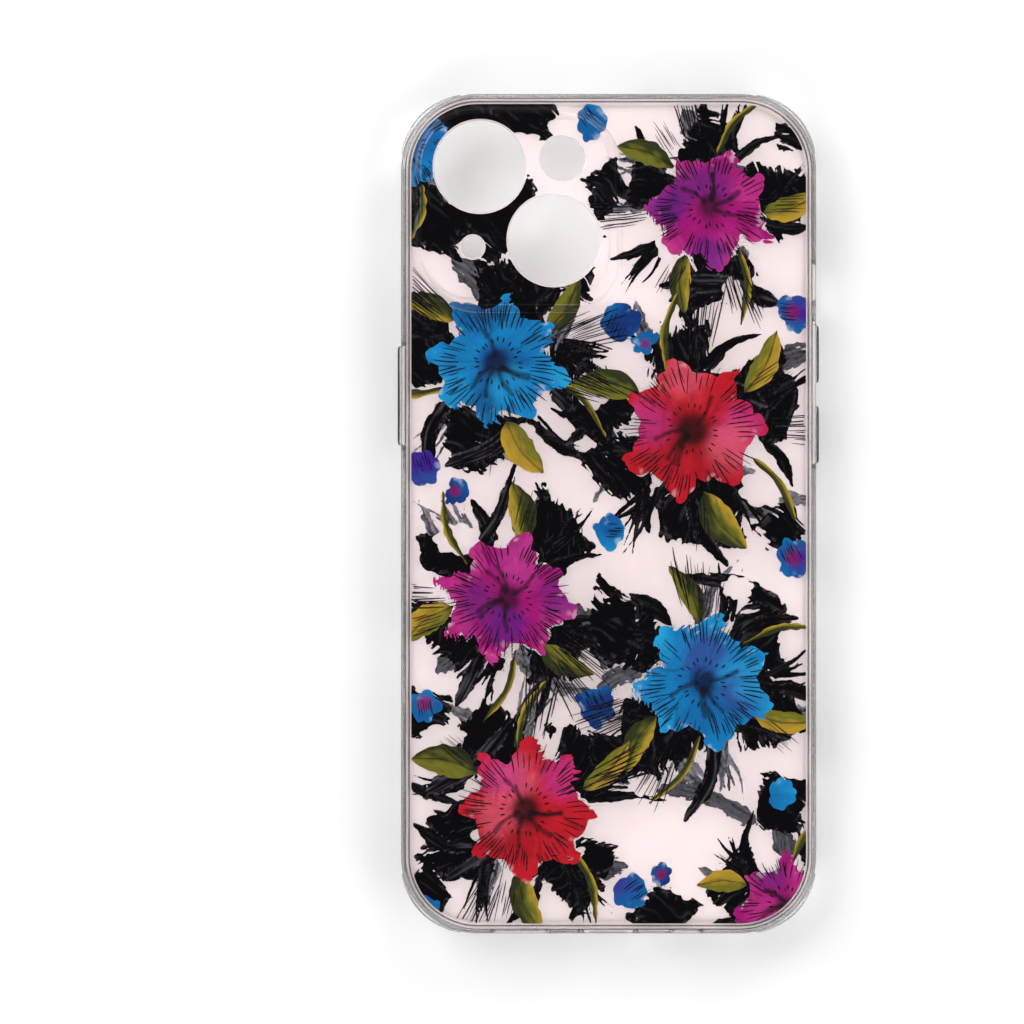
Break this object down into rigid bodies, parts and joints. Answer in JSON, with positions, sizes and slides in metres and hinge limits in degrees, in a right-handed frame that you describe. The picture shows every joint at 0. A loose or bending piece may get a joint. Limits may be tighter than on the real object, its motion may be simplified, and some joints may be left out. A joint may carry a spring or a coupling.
{
  "type": "phone case",
  "caption": "Clear slim phone case with a floral printed hard back, a soft bumper with corner cushions, camera holes, wall cutouts and pressing side keys.",
  "frame": {"origin": "centre of the case's outline, on the plane of the front lip that it rests on with its open side down", "axes": "+X to the right and +Y to the camera end, both seen from the printed back; +Z out of the printed back"},
  "size_m": [0.0758, 0.1504, 0.0125],
  "materials": {
    "plate_clear": "clear, polished, hard",
    "bumper_clear": "clear, glossy, soft",
    "cushion_clear": "clear, glossy, soft, hollow",
    "key_clear": "clear, satin crown",
    "membrane_clear": "clear, thin skin",
    "ink_white_base": "opaque white underbase, seen from inside",
    "ink_grey": "dry-brushed ink with bare streaks",
    "ink_olive": "blended gloss ink",
    "ink_blue": "blended gloss ink",
    "ink_magenta": "blended gloss ink",
    "ink_red": "blended gloss ink",
    "ink_black": "opaque gloss ink with dry-brushed edges",
    "ink_line_work": "fine pen lines"
  },
  "bodies": {
    "case": {"back_plate": "plate_clear", "bumper_frame": "bumper_clear", "corner_cushion_top_left": "cushion_clear", "corner_cushion_top_right": "cushion_clear", "corner_cushion_bottom_left": "cushion_clear", "corner_cushion_bottom_right": "cushion_clear", "power_key_membrane": "membrane_clear", "volume_key_membrane": "membrane_clear", "print_white_base": "ink_white_base", "print_grey": "ink_grey", "print_black": "ink_black", "print_olive": "ink_olive", "print_blue": "ink_blue", "print_magenta": "ink_magenta", "print_red": "ink_red", "print_line_work": "ink_line_work"},
    "power_button": {"power_key": "key_clear"},
    "volume_up_button": {"volume_up_key": "key_clear"},
    "volume_down_button": {"volume_down_key": "key_clear"}
  },
  "joints": [
    {"name": "power_press", "type": "slide", "parent": "case", "child": "power_button", "axis": [1, 0, 0], "range_m": [0, 0.0004], "stiffness_N_per_m": 400},
    {"name": "volume_up_press", "type": "slide", "parent": "case", "child": "volume_up_button", "axis": [-1, 0, 0], "range_m": [0, 0.0004], "stiffness_N_per_m": 400},
    {"name": "volume_down_press", "type": "slide", "parent": "case", "child": "volume_down_button", "axis": [-1, 0, 0], "range_m": [0, 0.0004], "stiffness_N_per_m": 400}
  ]
}
